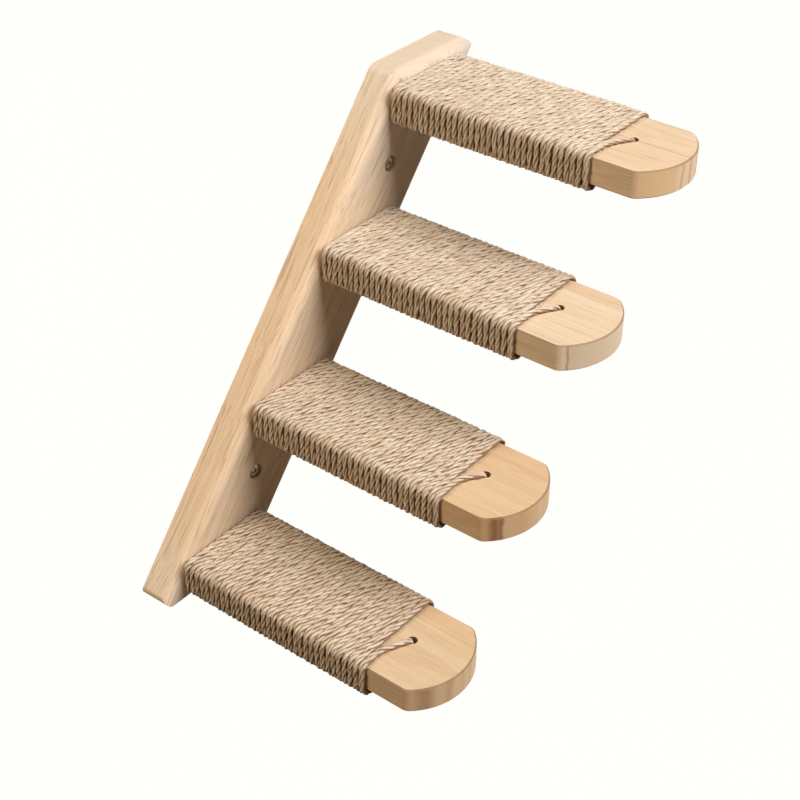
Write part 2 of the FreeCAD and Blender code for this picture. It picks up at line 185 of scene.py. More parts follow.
def makePlankGrain():
    tree, given, result = newGroup(
        "plankGrain",
        {"Vector": "Vector", "Pith": "Vector", "Ring Pitch": "Float", "Waviness": "Float"},
        {"Ring": "Float", "Fibre": "Float", "Pore": "Float", "Tone": "Float"},
    )
    place = given["Vector"]
    fromPith = vectorCalc(tree, "MULTIPLY", vectorCalc(tree, "SUBTRACT", place, given["Pith"]), (1, 0, 1))
    radius = vectorCalc(tree, "LENGTH", fromPith)
    drift = stretchedNoise(tree, place, woodGrowth["drift"], detail=2.5)
    radius = calc(tree, "ADD", radius, times(tree, drift, given["Waviness"]))
    shake = stretchedNoise(tree, place, woodGrowth["shake"], detail=1.5)
    radius = calc(tree, "ADD", radius, times(tree, shake, woodGrowth["shakeReach"]))
    phase = calc(tree, "FRACT", calc(tree, "DIVIDE", radius, given["Ring Pitch"]))
    late = calc(tree, "POWER", phase, woodGrowth["lateCurve"])
    early = fitRange(tree, phase, woodGrowth["ringEnd"], (1.0, 0.0))
    patches = stretchedNoise(tree, place, woodGrowth["patches"], detail=1.0)
    strength = fitRange(tree, patches, woodGrowth["patchRange"], woodGrowth["patchStrength"])
    crooked = calc(tree, "SUBTRACT", stretchedNoise(tree, place, woodGrowth["bend"]), 0.5)
    bend = times(tree, crooked, woodGrowth["bendReach"])
    bent = vectorCalc(tree, "ADD", place, combine(tree, x=bend, z=bend))
    fibre = stretchedNoise(tree, bent, woodGrowth["fibre"], detail=3.0, roughness=0.65)
    pore = stretchedNoise(tree, bent, woodGrowth["pore"], detail=1.0)
    tree.links.new(times(tree, times(tree, late, early), strength), result["Ring"])
    tree.links.new(fibre, result["Fibre"])
    tree.links.new(fitRange(tree, pore, woodGrowth["poreRange"]), result["Pore"])
    tree.links.new(stretchedNoise(tree, place, woodGrowth["tone"]), result["Tone"])
    return tree


plankGrain = makePlankGrain()
woodFinish = {  # what all boards share
    "stripShift": 0.37,  # the second strip shows another place in the tree
    "toneRange": (0.3, 0.7),
    "endRange": (0.15, 0.5),  # how squarely a sawn end faces along the grain
    "streakRange": (0.44, 0.7),
    "shineRange": (0.46, 0.3),  # pale lines between the dark ones
    "markNoise": (90, 0, 70),
    "markWobble": 4 * mm,
    "edgeStart": (0.05, 0.3),  # an edge faces neither along z nor square to it
    "edgeEnd": (0.9, 0.995),
    "glueLine": (0.1 * mm, 0.45 * mm),
    "holeRim": (0.1 * mm, 0.35 * mm),
    "holeDepth": 0.9,
    "roughRange": (0.2, 0.8),
    "roughness": (0.48, 0.62),
    "specular": 0.12,
    "fibreRelief": 0.5,  # next to the pores
    "bump": (0.35, 0.12 * mm),  # strength and distance
}


def boardGrain(tree, look, place, strip):
    shift = combine(tree, times(tree, strip, woodFinish["stripShift"]), strip)
    shift = vectorCalc(tree, "ADD", shift, look["seed"])
    inputs = {
        "Vector": vectorCalc(tree, "ADD", place, shift),
        "Pith": vectorCalc(tree, "ADD", look["pith"], shift),
        "Ring Pitch": look["ringPitch"],
        "Waviness": look["waviness"],
    }
    return addNode(tree, "Group", inputs, node_tree=plankGrain).outputs


# two strips, slow changes of tone and the growth rings
def boardColour(tree, look, along, strip, grain):
    tone = fitRange(tree, grain["Tone"], woodFinish["toneRange"])
    colour = blendColour(tree, tone, look["pale"], look["warm"])
    colour = blendColour(tree, times(tree, strip, look["stripTint"]), colour, look["strip"])
    for start, end, depth, ink in look.get("fades", ()):
        colour = blendColour(tree, fitRange(tree, along, (start, end), (0.0, depth)), colour, ink)
    return blendColour(tree, times(tree, grain["Ring"], look["ringDepth"]), colour, look["late"])


# fine lines along the grain, which a sawn end doesn't show
def drawFibres(tree, look, colour, grain, longGrain):
    streak = fitRange(tree, grain["Fibre"], woodFinish["streakRange"], (0.0, look["streakDepth"]))
    shine = fitRange(tree, grain["Fibre"], woodFinish["shineRange"], (0.0, look["shineDepth"]))
    pores = times(tree, grain["Pore"], look["poreDepth"])
    for amount, ink in ((streak, "late"), (shine, "shine"), (pores, "pore")):
        colour = blendColour(tree, times(tree, amount, longGrain), colour, look[ink])
    return colour


# pale and dark bands on a sawn end
def drawEndMarks(tree, look, colour, place, across, endGrain):
    ragged = stretchedNoise(tree, place, woodFinish["markNoise"], detail=3.0, roughness=0.6)
    wobble = times(tree, calc(tree, "SUBTRACT", ragged, 0.5), woodFinish["markWobble"])
    wavy = calc(tree, "ADD", across, wobble)
    for middle, half, depth, ink in look["endMarks"]:
        band = fitRange(tree, distance(tree, wavy, middle * mm), (0.0, half * mm), (depth, 0.0))
        colour = blendColour(tree, times(tree, band, endGrain), colour, ink)
    return colour


# painted shade: the eased edges are darker, a thin dark line along each edge
def paintEdgeShade(tree, look, colour, slope):
    start = fitRange(tree, slope, woodFinish["edgeStart"])
    brink = times(tree, start, fitRange(tree, slope, woodFinish["edgeEnd"], (1.0, 0.0)))
    return blendColour(tree, times(tree, brink, look["edgeShadeDepth"]), colour, look["edge"])


# painted shade: the wall of the cord's hole is darkened, in the board's upper half
def paintHoleShade(tree, look, colour, place, height):
    fromHole = vectorCalc(tree, "SUBTRACT", place, (cordHole["x"], cordHole["y"], 0.0))
    apart = vectorCalc(tree, "LENGTH", vectorCalc(tree, "MULTIPLY", fromHole, (1, 1, 0)))
    rim = [cordHole["radius"] + reach for reach in woodFinish["holeRim"]]
    inside = fitRange(tree, apart, rim, (woodFinish["holeDepth"], 0.0))
    upper = calc(tree, "GREATER_THAN", height, 0.0)
    return blendColour(tree, times(tree, inside, upper), colour, look["holeShade"])


def makeWood(name, look, origin, across, along, through):
    material, tree, shader = newMaterial(name)
    local = vectorCalc(tree, "SUBTRACT", objectPlace(tree), origin)
    x, y, z = (vectorCalc(tree, "DOT_PRODUCT", local, axis) for axis in (across, along, through))
    place = combine(tree, x, y, z)
    strip = calc(tree, "GREATER_THAN", x, look["joint"])  # the board is glued from two strips
    grain = boardGrain(tree, look, place, strip)
    colour = boardColour(tree, look, y, strip, grain)
    normal = addNode(tree, "NewGeometry").outputs["Normal"]
    endGrain = fitRange(tree, facing(tree, normal, along), woodFinish["endRange"])
    colour = blendColour(tree, times(tree, endGrain, look["endDepth"]), colour, look["end"])
    colour = drawFibres(tree, look, colour, grain, calc(tree, "SUBTRACT", 1.0, endGrain))
    if "endMarks" in look:
        colour = drawEndMarks(tree, look, colour, place, x, endGrain)
    if "edge" in look:
        colour = paintEdgeShade(tree, look, colour, facing(tree, normal, through))
    fromGlue = distance(tree, x, look["joint"])
    glue = fitRange(tree, fromGlue, woodFinish["glueLine"], (look["glueDepth"], 0.0))
    colour = blendColour(tree, glue, colour, look["pore"])
    if "holeShade" in look:
        colour = paintHoleShade(tree, look, colour, place, z)
    relief = calc(tree, "SUBTRACT", times(tree, grain["Fibre"], woodFinish["fibreRelief"]), grain["Pore"])
    surface = {
        "Base Color": colour,
        "Roughness": fitRange(tree, grain["Fibre"], woodFinish["roughRange"], woodFinish["roughness"]),
        "Specular IOR Level": woodFinish["specular"],
        "Normal": bumpNormal(tree, relief, woodFinish["bump"]),
    }
    setInputs(tree, shader, surface)
    return material


railWood = {
    "lean": 40,  # degrees from upright
    "pale": (0.97, 0.77, 0.56),
    "warm": (0.95, 0.72, 0.495),
    "strip": (0.88, 0.64, 0.41),
    "stripTint": 0.3,
    "joint": 13 * mm,
    "glueDepth": 0.15,
    "late": (0.50, 0.29, 0.145),
    "ringDepth": 0.26,
    "streakDepth": 0.26,
    "shine": (1.0, 0.83, 0.62),
    "shineDepth": 0.7,
    "pore": (0.30, 0.165, 0.08),
    "poreDepth": 0.42,
    "end": (0.78, 0.60, 0.44),
    "endDepth": 0.55,
    "ringPitch": 5.2 * mm,
    "waviness": 35 * mm,
    "pith": (0.02, 0.0, 0.09),
    "seed": (0.4, 2.0, 0.7),
    "fades": (  # start and end along the rail, depth and colour
        (0.05, 0.21, 0.75, (0.98, 0.90, 0.80)),
        (-0.02, -0.12, 0.14, (0.80, 0.56, 0.36)),
        (-0.165, -0.2, 0.45, (0.98, 0.88, 0.76)),
    ),
}
railLean = math.radians(railWood["lean"])
railAlong = (math.sin(railLean), 0.0, math.cos(railLean))
railAcross = (math.cos(railLean), 0.0, -math.sin(railLean))
dress("back_rail", makeWood("railWood", railWood, (0, 0, 0), railAcross, railAlong, (0, 1, 0)))
print("rail dressed")


stepWood = {
    "stripTint": 0.38,
    "late": (0.60, 0.375, 0.205),
    "ringDepth": 0.38,
    "streakDepth": 0.26,
    "shine": (0.90, 0.71, 0.50),
    "shineDepth": 0.3,
    "pore": (0.40, 0.235, 0.125),
    "poreDepth": 0.22,
    "endDepth": 0.7,
    # painted shade along the eased edges
    "edge": (0.26, 0.14, 0.07),
    "edgeShadeDepth": 0.75,
    # painted shade on the wall of the cord's hole
    "holeShade": (0.16, 0.08, 0.04),
    "ringPitch": 5.8 * mm,
    "waviness": 30 * mm,
}
stepLooks = {  # an end mark has its middle and half width in mm, its depth and its colour
    1: {
        "pale": (0.865, 0.69, 0.495),
        "warm": (0.84, 0.635, 0.435),
        "strip": (0.87, 0.69, 0.495),
        "end": (0.97, 0.64, 0.385),
        "joint": 2.5 * mm,
        "glueDepth": 0.75,
        "pith": (-0.03, 0.0, -0.06),
        "seed": (0.0, 0.0, 0.0),
        "endMarks": (
            (-24, 16, 0.6, (0.97, 0.65, 0.34)),
            (-10, 2.5, 0.5, (0.97, 0.80, 0.61)),
            (-6.5, 1.4, 0.55, (0.62, 0.33, 0.18)),
            (-2, 3.5, 0.5, (0.98, 0.81, 0.64)),
            (3, 1.6, 0.55, (0.62, 0.34, 0.2)),
            (9, 4, 0.5, (0.98, 0.81, 0.64)),
            (15, 1.8, 0.55, (0.62, 0.35, 0.21)),
            (22, 5, 0.4, (0.98, 0.81, 0.64)),
        ),
    },
    2: {
        "pale": (0.87, 0.72, 0.535),
        "warm": (0.84, 0.665, 0.47),
        "strip": (0.83, 0.60, 0.41),
        "end": (1.0, 0.80, 0.57),
        "joint": 24 * mm,
        "glueDepth": 0.35,
        "pith": (0.05, 0.0, -0.05),
        "seed": (1.3, 4.1, 0.6),
        "endMarks": (
            (-33.5, 2, 0.8, (1.0, 0.85, 0.67)),
            (-31.5, 1, 0.7, (0.52, 0.29, 0.15)),
            (-6, 18, 0.2, (0.85, 0.58, 0.34)),
        ),
    },
    3: {
        "pale": (0.80, 0.605, 0.39),
        "warm": (0.765, 0.54, 0.335),
        "strip": (0.74, 0.48, 0.28),
        "end": (0.92, 0.60, 0.34),
        "joint": 22 * mm,
        "glueDepth": 0.3,
        "pith": (0.02, 0.0, -0.07),
        "seed": (2.9, 1.7, 3.3),
        "endMarks": (
            (-30, 6, 0.88, (0.34, 0.14, 0.055)),
            (-26.6, 1.8, 0.6, (0.24, 0.10, 0.045)),
            (-13, 9, 0.45, (0.82, 0.49, 0.24)),
            (4, 4, 0.6, (0.92, 0.70, 0.46)),
        ),
    },
    4: {
        "pale": (0.805, 0.63, 0.43),
        "warm": (0.77, 0.575, 0.37),
        "strip": (0.76, 0.51, 0.32),
        "end": (0.99, 0.69, 0.41),
        "joint": 21 * mm,
        "glueDepth": 0.3,
        "pith": (-0.02, 0.0, -0.08),
        "seed": (5.2, 3.6, 1.9),
        "endMarks": (
            (-27, 8, 0.7, (0.52, 0.30, 0.16)),
            (-12, 5, 0.55, (0.66, 0.39, 0.20)),
            (0, 4, 0.4, (0.70, 0.43, 0.23)),
            (9, 4, 0.4, (0.70, 0.43, 0.23)),
        ),
    },
}


# middle of a step's root, and half its width and thickness
def stepFrame(step):
    low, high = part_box(f"step_board_{step}")
    origin = Vector(((low.x + high.x) / 2, high.y, (low.z + high.z) / 2))
    return origin, (high.x - low.x) / 2, (high.z - low.z) / 2


for step in steps:
    look = {**stepWood, **stepLooks[step]}
    origin = stepFrame(step)[0]
    dress(f"step_board_{step}", makeWood(f"stepWood{step}", look, origin, (1, 0, 0), (0, 1, 0), (0, 0, 1)))
print("steps dressed")


# painted shade: the screws get a darkened, brownish base colour that stands in for the shade they sit in
shadedSteel = {
    "bright": (0.25, 0.185, 0.125),
    "dull": (0.105, 0.068, 0.04),
    "cloud": (900, 900, 900),  # cycles per metre
    "cloudRange": (0.35, 0.7),
    "roughRange": (0.3, 0.7),
    "roughness": (0.26, 0.42),
    "bump": (0.2, 0.05 * mm),  # strength and distance
}


def makeSteel():
    material, tree, shader = newMaterial("screwSteel")
    cloud = stretchedNoise(tree, objectPlace(tree), shadedSteel["cloud"], detail=3.0)
    clouded = fitRange(tree, cloud, shadedSteel["cloudRange"])
    surface = {
        "Base Color": blendColour(tree, clouded, shadedSteel["bright"], shadedSteel["dull"]),
        "Metallic": 1.0,
        "Roughness": fitRange(tree, cloud, shadedSteel["roughRange"], shadedSteel["roughness"]),
        "Normal": bumpNormal(tree, cloud, shadedSteel["bump"]),
    }
    setInputs(tree, shader, surface)
    return material


screwForms = {  # radii and lengths in mm, from the top of the head to the tip
    "wall": {
        "head": 4.75,
        "high": 3.2,
        "crown": 1.2,
        "rim": 0.5,
        "shank": 1.9,
        "core": 1.65,
        "thread": 2.5,
        "threadFrom": 24.7,
    },
    "step": {
        "head": 4.3,
        "high": 2.3,
        "crown": 0.0,
        "rim": 0.15,
        "shank": 2.15,
        "core": 1.55,
        "thread": 2.25,
        "threadFrom": 24.0,
    },
}
screwCut = {  # in mm where it is a length
    "sides": 48,
    "topRings": 26,
    "topStart": 0.04,  # the first ring's share of the top's radius
    "rimAngles": (0.5, 1.05, 1.57),
    "headEase": 0.3,
    "neckFlare": 0.25,
    "neckLength": 0.3,
    "shankRings": 6,
    "ringGap": 0.2,  # along the thread
    "pitch": 1.9,
    "crestHalf": 0.26,  # half a crest's width, as a share of the pitch
    "runIn": 1.2,
    "tipLength": 5.0,
    "tipBlunt": 0.02,
    "tipCurve": 0.8,
    "slotWall": (0.35, 0.7),  # half the cross's width, from its floor to its rim
    "armEnd": (1.85, 2.4),
    "bowl": (0.7, 1.3),  # round middle of the cross
    "crossDeep": 1.5,
    "sharpAngle": 40,  # degrees
}


# radius and depth of each ring below the head's top
def screwStations(form, length):
    head, high, rim, shank = form["head"], form["high"], form["rim"], form["shank"]
    ease, neck, gap = screwCut["headEase"], screwCut["neckLength"], screwCut["ringGap"]
    inner = np.linspace(screwCut["topStart"], 1.0, screwCut["topRings"]) * (head - rim)
    stations = [(radius, form["crown"] * (radius / head) ** 2) for radius in inner]
    edge = stations[-1][1]
    for angle in screwCut["rimAngles"]:
        stations.append((head - rim * (1 - math.sin(angle)), edge + rim * (1 - math.cos(angle))))
    if form["crown"]:
        stations += [(head, high - ease), (head - ease, high)]
    stations += [(shank + screwCut["neckFlare"], high), (shank, high + neck)]
    plain = np.linspace(high + 2 * neck, form["threadFrom"], screwCut["shankRings"])
    stations += [(shank, depth) for depth in plain]
    count = int((length - form["threadFrom"]) / gap)
    threaded = np.linspace(form["threadFrom"] + gap, length, count)
    stations += [(form["core"], depth) for depth in threaded]
    return np.array(stations)


# sideways places and depth of each point, with the thread, the point and the cross recess
def screwRings(form, length):
    stations = screwStations(form, length)
    radius, depth = stations[:, 0, None], stations[:, 1, None]
    angle = (np.arange(screwCut["sides"]) * fullTurn / screwCut["sides"])[None, :]
    phase = (depth / screwCut["pitch"] - angle / fullTurn) % 1.0
    crest = np.clip(1 - np.abs(phase - 0.5) / screwCut["crestHalf"], 0, 1)
    begun = smooth(depth - form["threadFrom"], (0.0, screwCut["runIn"]))
    wide = radius + (form["thread"] - form["core"]) * crest * begun
    blunt = screwCut["tipBlunt"]
    taper = np.clip((length - depth) / screwCut["tipLength"] + blunt, blunt, 1)
    wide = wide * taper ** screwCut["tipCurve"]
    across, upward = wide * np.cos(angle), wide * np.sin(angle)
    nearer = np.minimum(np.abs(across), np.abs(upward))
    farther = np.maximum(np.abs(across), np.abs(upward))
    cross = (1 - smooth(nearer, screwCut["slotWall"])) * (1 - smooth(farther, screwCut["armEnd"]))
    cross = np.maximum(cross, 1 - smooth(wide, screwCut["bowl"]))
    onTop = np.arange(len(stations))[:, None] < screwCut["topRings"]
    return across, upward, depth + screwCut["crossDeep"] * cross * onTop


def makeScrew(node, kind, toward):
    low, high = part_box(node)
    across, upward, depth = screwRings(screwForms[kind], (high.y - low.y) / mm)
    rng = np.random.default_rng(sum(map(ord, node)))
    turn = rng.uniform(0, fullTurn / 4)
    x = across * math.cos(turn) - upward * math.sin(turn) + (low.x + high.x) / 2 / mm
    y = (low.y if toward > 0 else high.y) / mm + toward * depth
    z = across * math.sin(turn) + upward * math.cos(turn) + (low.z + high.z) / 2 / mm
    rings = np.stack(np.broadcast_arrays(x, y, z), axis=-1) * mm
    places, quads = tubeMesh(rings)
    sides, count = screwCut["sides"], len(places)
    ends = [rings[0].mean(axis=0), rings[-1].mean(axis=0)]
    last = count - sides
    around = [(side, (side + 1) % sides) for side in range(sides)]
    faces = quads.tolist()
    faces += [(count, b, a) for a, b in around]
    faces += [(count + 1, last + a, last + b) for a, b in around]
    mesh = bpy.data.meshes.new(f"screw_{node}")
    mesh.from_pydata([tuple(place) for place in [*places, *ends]], [], faces)
    if toward < 0:
        mesh.flip_normals()
    mesh.shade_smooth()
    mesh.set_sharp_from_angle(angle=math.radians(screwCut["sharpAngle"]))
    mesh.materials.append(screwSteel)
    screw = bpy.data.objects.new(f"screw_{node}", mesh)
    scene.collection.objects.link(screw)
    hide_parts(node)
    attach(screw, "root")


screwSteel = makeSteel()
screwNodes = [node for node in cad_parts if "screw" in node]
for node in screwNodes:
    wall = node.startswith("wall")
    makeScrew(node, "wall" if wall else "step", 1 if wall else -1)
print("screws turned:", len(screwNodes))


# jute: one cord of four strands on each step, wound from the rail towards the nose
juteCord = {
    "turns": 34,
    "wrapStart": 1.5 * mm,
    "wrapEnd": 159.5 * mm,
    "strands": 4,
    "strandOff": 1.24 * mm,  # strand's middle from the cord's middle
    "strandRadius": 1.06 * mm,
    "lay": 30.0 * mm,
    "flat": 0.88,  # wound tight, the cord is pressed flat
    "broadTop": 0.4,  # and spreads sideways on top
    "broadHidden": 0.6,  # and more below and on the far side
    "cornerLeg": 10.5 * mm,
    "slack": 1.6 * mm,  # the turns hang a little below the step
    "notchX": -28.0 * mm,
    "notchDeep": 7 * mm,
    "sway": 0.2 * mm,
    "splineSteps": 8,
    "ringGap": 1.45 * mm,
    "sides": 5,
    "seed": 700,
}
cordReach = juteCord["strandOff"] + juteCord["strandRadius"]
juteTail = {
    "slant": {1: 27.0, 2: 28.0, 3: 31.0, 4: 24.0},  # degrees, on each step
    "flat": 0.96,
    "entry": 1.9 * mm,  # it goes in this far before the hole's middle
    "landing": 0.65,  # share of its way where it lies on the step
    "approach": (-3.8 * mm, 1.1 * mm),
    "dive": ((-0.6, 0.2, 1.0), (0.7, 0.0, -2.0), (0.7, 0.0, -7.0)),  # mm from the entry, on the step's top
    "held": (15 * mm, 45 * mm),  # from the cord's end: still loose, and wound tight
    "pressed": (12 * mm, 42 * mm),
}
juteDrift = {  # slow changes along the cord: length and amount
    "wave": (31 * mm, 0.34 * mm),
    "ripple": (11.3 * mm, 0.238 * mm),
    "twist": (170 * mm, 1.3),
    "gap": (41 * mm, 0.5),
    "strandTurn": (50 * mm, 0.24),
    "strandOff": (30 * mm, 0.1),
    "strandRadius": (17 * mm, 0.15),
}
driftOctaves = (1.0, 1.7, 2.9)
juteFacing = {  # how squarely a turn has to face a way
    "level": (0.3, 0.8),
    "far": (0.1, 0.6),
    "farEdge": (0.7, 0.95),
    "upright": (0.2, 0.7),
    "grooves": (0.5, 0.9),
}
# painted shade: darkening in the grooves between strands and in the gaps between turns
juteShade = {  # places in the cord are shares of its reach from the middle
    "grooves": {1: 0.82, 2: 0.92, 3: 1.1, 4: 1.2},  # how dark the painted shade in them is on top, next to the sides, darker on the lower steps
    "core": (0.5, 0.9),
    "crest": (-0.1, 0.55),
    "topGroove": 0.3,  # how much higher the painted shade between turns reaches on top
    "gapSide": (0.62, 0.98),
    "gapDepth": 0.7,
    "gapLimits": (0.2, 0.95),
}
juteMaps = {
    "fibreLength": 10 * mm,
    "strandShift": 7.3,
    "bakeShape": 5.7,  # a strand's girth next to the gap between its rings
    "bakeMargin": 0.1,
}


# corner points of the cord's way, from the middle of the step's root
def windingRoute(step, rng, halfWide, halfThick):
    lift = juteCord["flat"] * cordReach
    wide, high, leg = halfWide + lift, halfThick + lift, juteCord["cornerLeg"]
    low = -high - juteCord["slack"]
    pitch = (juteCord["wrapEnd"] - juteCord["wrapStart"]) / juteCord["turns"]
    rows = [-(juteCord["wrapStart"] + pitch * (turn + 0.5)) for turn in range(juteCord["turns"])]
    first, last = rows[0], rows[-1]
    notchX = juteCord["notchX"]
    route = [(notchX, first, low + juteCord["notchDeep"]), (notchX, first, low)]
    for y in rows:
        sway = np.zeros(4) if y in (first, last) else rng.normal(0, juteCord["sway"], 4)
        nearY, topY, farTopY, farY = y + sway
        route += [(-wide + leg, y, low), (-wide, y, low), (-wide, (y + nearY) / 2, low + leg)]
        route += [(-wide, nearY, high - leg), (-wide, nearY, high), (-wide + leg, topY, high)]
        if y != last:
            route += [(0.0, topY, high), (wide - leg, farTopY, high), (wide, farTopY, high)]
            route += [(wide, farY, high - leg), (wide, y, low + leg), (wide, y, low), (wide - leg, y, low)]
    return route + tailRoute(step, last, high, halfThick)


# the cord's end slants over the step and dives into its hole
def tailRoute(step, last, high, halfThick):
    entryX, entryY = cordHole["x"] - juteTail["entry"], cordHole["y"]
    run = (last - entryY) / math.tan(math.radians(juteTail["slant"][step]))
    landing, tailHigh = juteTail["landing"], halfThick + juteTail["flat"] * cordReach
    approachX, approachY = juteTail["approach"]
    route = [
        (entryX - run, last, high),
        (entryX - run * (1 - landing), last + (entryY - last) * landing, tailHigh),
        (entryX + approachX, entryY + approachY, tailHigh),
    ]
    return route + [(entryX + x * mm, entryY + y * mm, halfThick + z * mm) for x, y, z in juteTail["dive"]]


# even points along a smooth spline through the route
def routeLine(name, route):
    curve = bpy.data.curves.new(name, "CURVE")
    curve.dimensions = "3D"
    spline = curve.splines.new("NURBS")
    spline.points.add(len(route) - 1)
    for point, place in zip(spline.points, route):
        point.co = (*place, 1.0)
    spline.order_u = 3
    spline.use_endpoint_u = True
    spline.resolution_u = juteCord["splineSteps"]
    holder = bpy.data.objects.new(name, curve)
    mesh = bpy.data.meshes.new_from_object(holder)
    line = np.empty(len(mesh.vertices) * 3)
    mesh.vertices.foreach_get("co", line)
    line = line.reshape(-1, 3)
    bpy.data.objects.remove(holder)
    bpy.data.curves.remove(curve)
    bpy.data.meshes.remove(mesh)
    run = np.concatenate([[0.0], np.cumsum(np.linalg.norm(np.diff(line, axis=0), axis=1))])
    even = np.linspace(0.0, run[-1], int(run[-1] / juteCord["ringGap"]))
    return even, np.stack([np.interp(even, run, line[:, axis]) for axis in range(3)], axis=1)


# slow random change along the cord
def wander(rng, along, name):
    reach, amount = juteDrift[name]
    total = np.zeros_like(along)
    for octave in driftOctaves:
        total += np.sin(along * octave * fullTurn / reach + rng.uniform(0, fullTurn))
    return amount * total / len(driftOctaves)


# where the cord lies, which way it faces and how it is pressed, for each ring
def cordLine(step, rng):
    origin, halfWide, halfThick = stepFrame(step)
    along, middle = routeLine(f"juteRoute{step}", windingRoute(step, rng, halfWide, halfThick))
    heading = unit(np.gradient(middle, axis=0))
    outward = unit(np.cross(heading, (0.0, 1.0, 0.0)))
    beside = np.cross(heading, outward)
    left = along[-1] - along
    held = np.interp(left, juteTail["held"], (0.0, 1.0))[:, None]
    wave = wander(rng, along, "wave") + wander(rng, along, "ripple")
    rightward, upward = outward[:, :1], outward[:, 2:]
    onTop, below = (smooth(side, juteFacing["level"]) for side in (upward, -upward))
    far = smooth(rightward, juteFacing["far"]) * (1 - smooth(upward, juteFacing["farEdge"]))
    broad = juteCord["broadTop"] * onTop + juteCord["broadHidden"] * np.maximum(below, far)
    return {
        "origin": np.array(origin),
        "along": along,
        "middle": middle + wave[:, None] * held * beside,
        "outward": outward,
        "beside": beside,
        "spread": 1 + held * broad,
        "flat": np.interp(left, juteTail["pressed"], (juteTail["flat"], juteCord["flat"]))[:, None],
        "onTop": onTop * held,
        "upright": held * (1 - smooth(np.abs(upward), juteFacing["upright"])),
        # painted shade on the tops of the turns, darker on the lower steps
        "dark": 1 - (1 - juteShade["grooves"][step]) * smooth(upward, juteFacing["grooves"]),
    }


# one strand, which twists round the cord's middle line
def strandRings(rng, line, turn):
    along, outward, flat, spread = (line[name] for name in ("along", "outward", "flat", "spread"))
    angle = (turn + wander(rng, along, "strandTurn"))[:, None]
    off = juteCord["strandOff"] * (1 + wander(rng, along, "strandOff"))[:, None]
    centre = line["middle"] + off * (flat * np.cos(angle) * outward + spread * np.sin(angle) * line["beside"])
    lead = unit(np.gradient(centre, axis=0))
    up = unit(outward - lead * np.sum(outward * lead, axis=1, keepdims=True))
    side = np.cross(lead, up)
    radius = juteCord["strandRadius"] * (1 + wander(rng, along, "strandRadius"))[:, None, None]
    corner = np.arange(juteCord["sides"]) * fullTurn / juteCord["sides"]
    ring = (flat * np.cos(corner))[:, :, None] * up[:, None, :]
    ring = ring + (spread * np.sin(corner))[:, :, None] * side[:, None, :]
    return centre[:, None, :] + radius * ring


# how far each point stands out of the grooves between strands and between turns; this sets the painted shade
# in the grooves
def strandGrooveShade(line, rings, gap):
    away = rings - line["middle"][:, None, :]
    rise = np.sum(away * line["outward"][:, None, :], axis=2) / line["flat"] / cordReach
    apart = np.sum(away * line["beside"][:, None, :], axis=2) / line["spread"] / cordReach
    crest = smooth(rise - juteShade["topGroove"] * line["onTop"], juteShade["crest"])
    crown = smooth(np.hypot(rise, apart), juteShade["core"]) * crest
    crown = crown * (1 - gap * line["upright"] * smooth(np.abs(apart), juteShade["gapSide"]))
    return (1 - (1 - crown) * line["dark"]).ravel()


# corner coordinates of each quad of a tube: first round it, then along it
def quadCorners(around, start, end):
    before, after = around[:, :-1], around[:, 1:]
    shape = (len(start), before.shape[1])
    corners = []
    for pair in ((before, start), (after, start), (after, end), (before, end)):
        corners.append(np.stack([np.broadcast_to(part, shape) for part in pair], axis=-1))
    return np.stack(corners, axis=2).reshape(-1, 2)


# a map for the fibres, and one for baking, where each length between two rings has its own cell
def strandMaps(along, strand):
    around = (np.arange(juteCord["sides"] + 1) / juteCord["sides"])[None, :]
    v = along / juteMaps["fibreLength"] + strand * juteMaps["strandShift"]
    fibres = quadCorners(around, v[:-1, None], v[1:, None])
    perStrand = len(along) - 1
    cells = perStrand * juteCord["strands"]
    perRow = math.ceil(math.sqrt(cells * juteMaps["bakeShape"]))
    rows = math.ceil(cells / perRow)
    cell = np.arange(perStrand)[:, None] + strand * perStrand
    column, row = cell % perRow, cell // perRow
    margin = juteMaps["bakeMargin"]
    inRow = (row + margin + (1 - 2 * margin) * around) / rows
    return fibres, quadCorners(inRow, column / perRow, (column + 1) / perRow)[:, ::-1]


def makeMesh(name, places, quads, uvMaps):
    mesh = bpy.data.meshes.new(name)
    mesh.vertices.add(len(places))
    mesh.vertices.foreach_set("co", places.astype(np.float32).ravel())
    mesh.loops.add(quads.size)
    mesh.loops.foreach_set("vertex_index", quads.astype(np.int32).ravel())
    mesh.polygons.add(len(quads))
    mesh.polygons.foreach_set("loop_start", np.arange(0, quads.size, 4, dtype=np.int32))
    for mapName, uv in uvMaps.items():
        mesh.uv_layers.new(name=mapName).data.foreach_set("uv", uv.astype(np.float32).ravel())
    mesh.update()
    mesh.validate()
    mesh.shade_smooth()
    return mesh


def makeCord(step):
    rng = np.random.default_rng(juteCord["seed"] + step)
    line = cordLine(step, rng)
    along = line["along"]
    twist = fullTurn * along / juteCord["lay"] + wander(rng, along, "twist")
    gap = np.clip(juteShade["gapDepth"] + wander(rng, along, "gap"), *juteShade["gapLimits"])[:, None]
    strands = []
    for strand in range(juteCord["strands"]):
        rings = strandRings(rng, line, twist + strand * fullTurn / juteCord["strands"])
        places, quads = tubeMesh(rings)
        crown = strandGrooveShade(line, rings, gap)
        strands.append((places, quads + len(places) * strand, crown, *strandMaps(along, strand)))
    places, quads, grooveShades, fibres, bakes = (np.concatenate(parts) for parts in zip(*strands))
    mesh = makeMesh(f"juteCord{step}", places + line["origin"], quads, {"strandUV": fibres, "OFBake": bakes})
    # the painted groove shade of each point
    shade = mesh.attributes.new("crown", "FLOAT", "POINT")
    shade.data.foreach_set("value", grooveShades.astype(np.float32))
    cord = bpy.data.objects.new(f"juteCord{step}", mesh)
    scene.collection.objects.link(cord)
    print(f"cord {step}: {along[-1]:.3f} m, {2 * len(mesh.polygons)} triangles")
    return cord


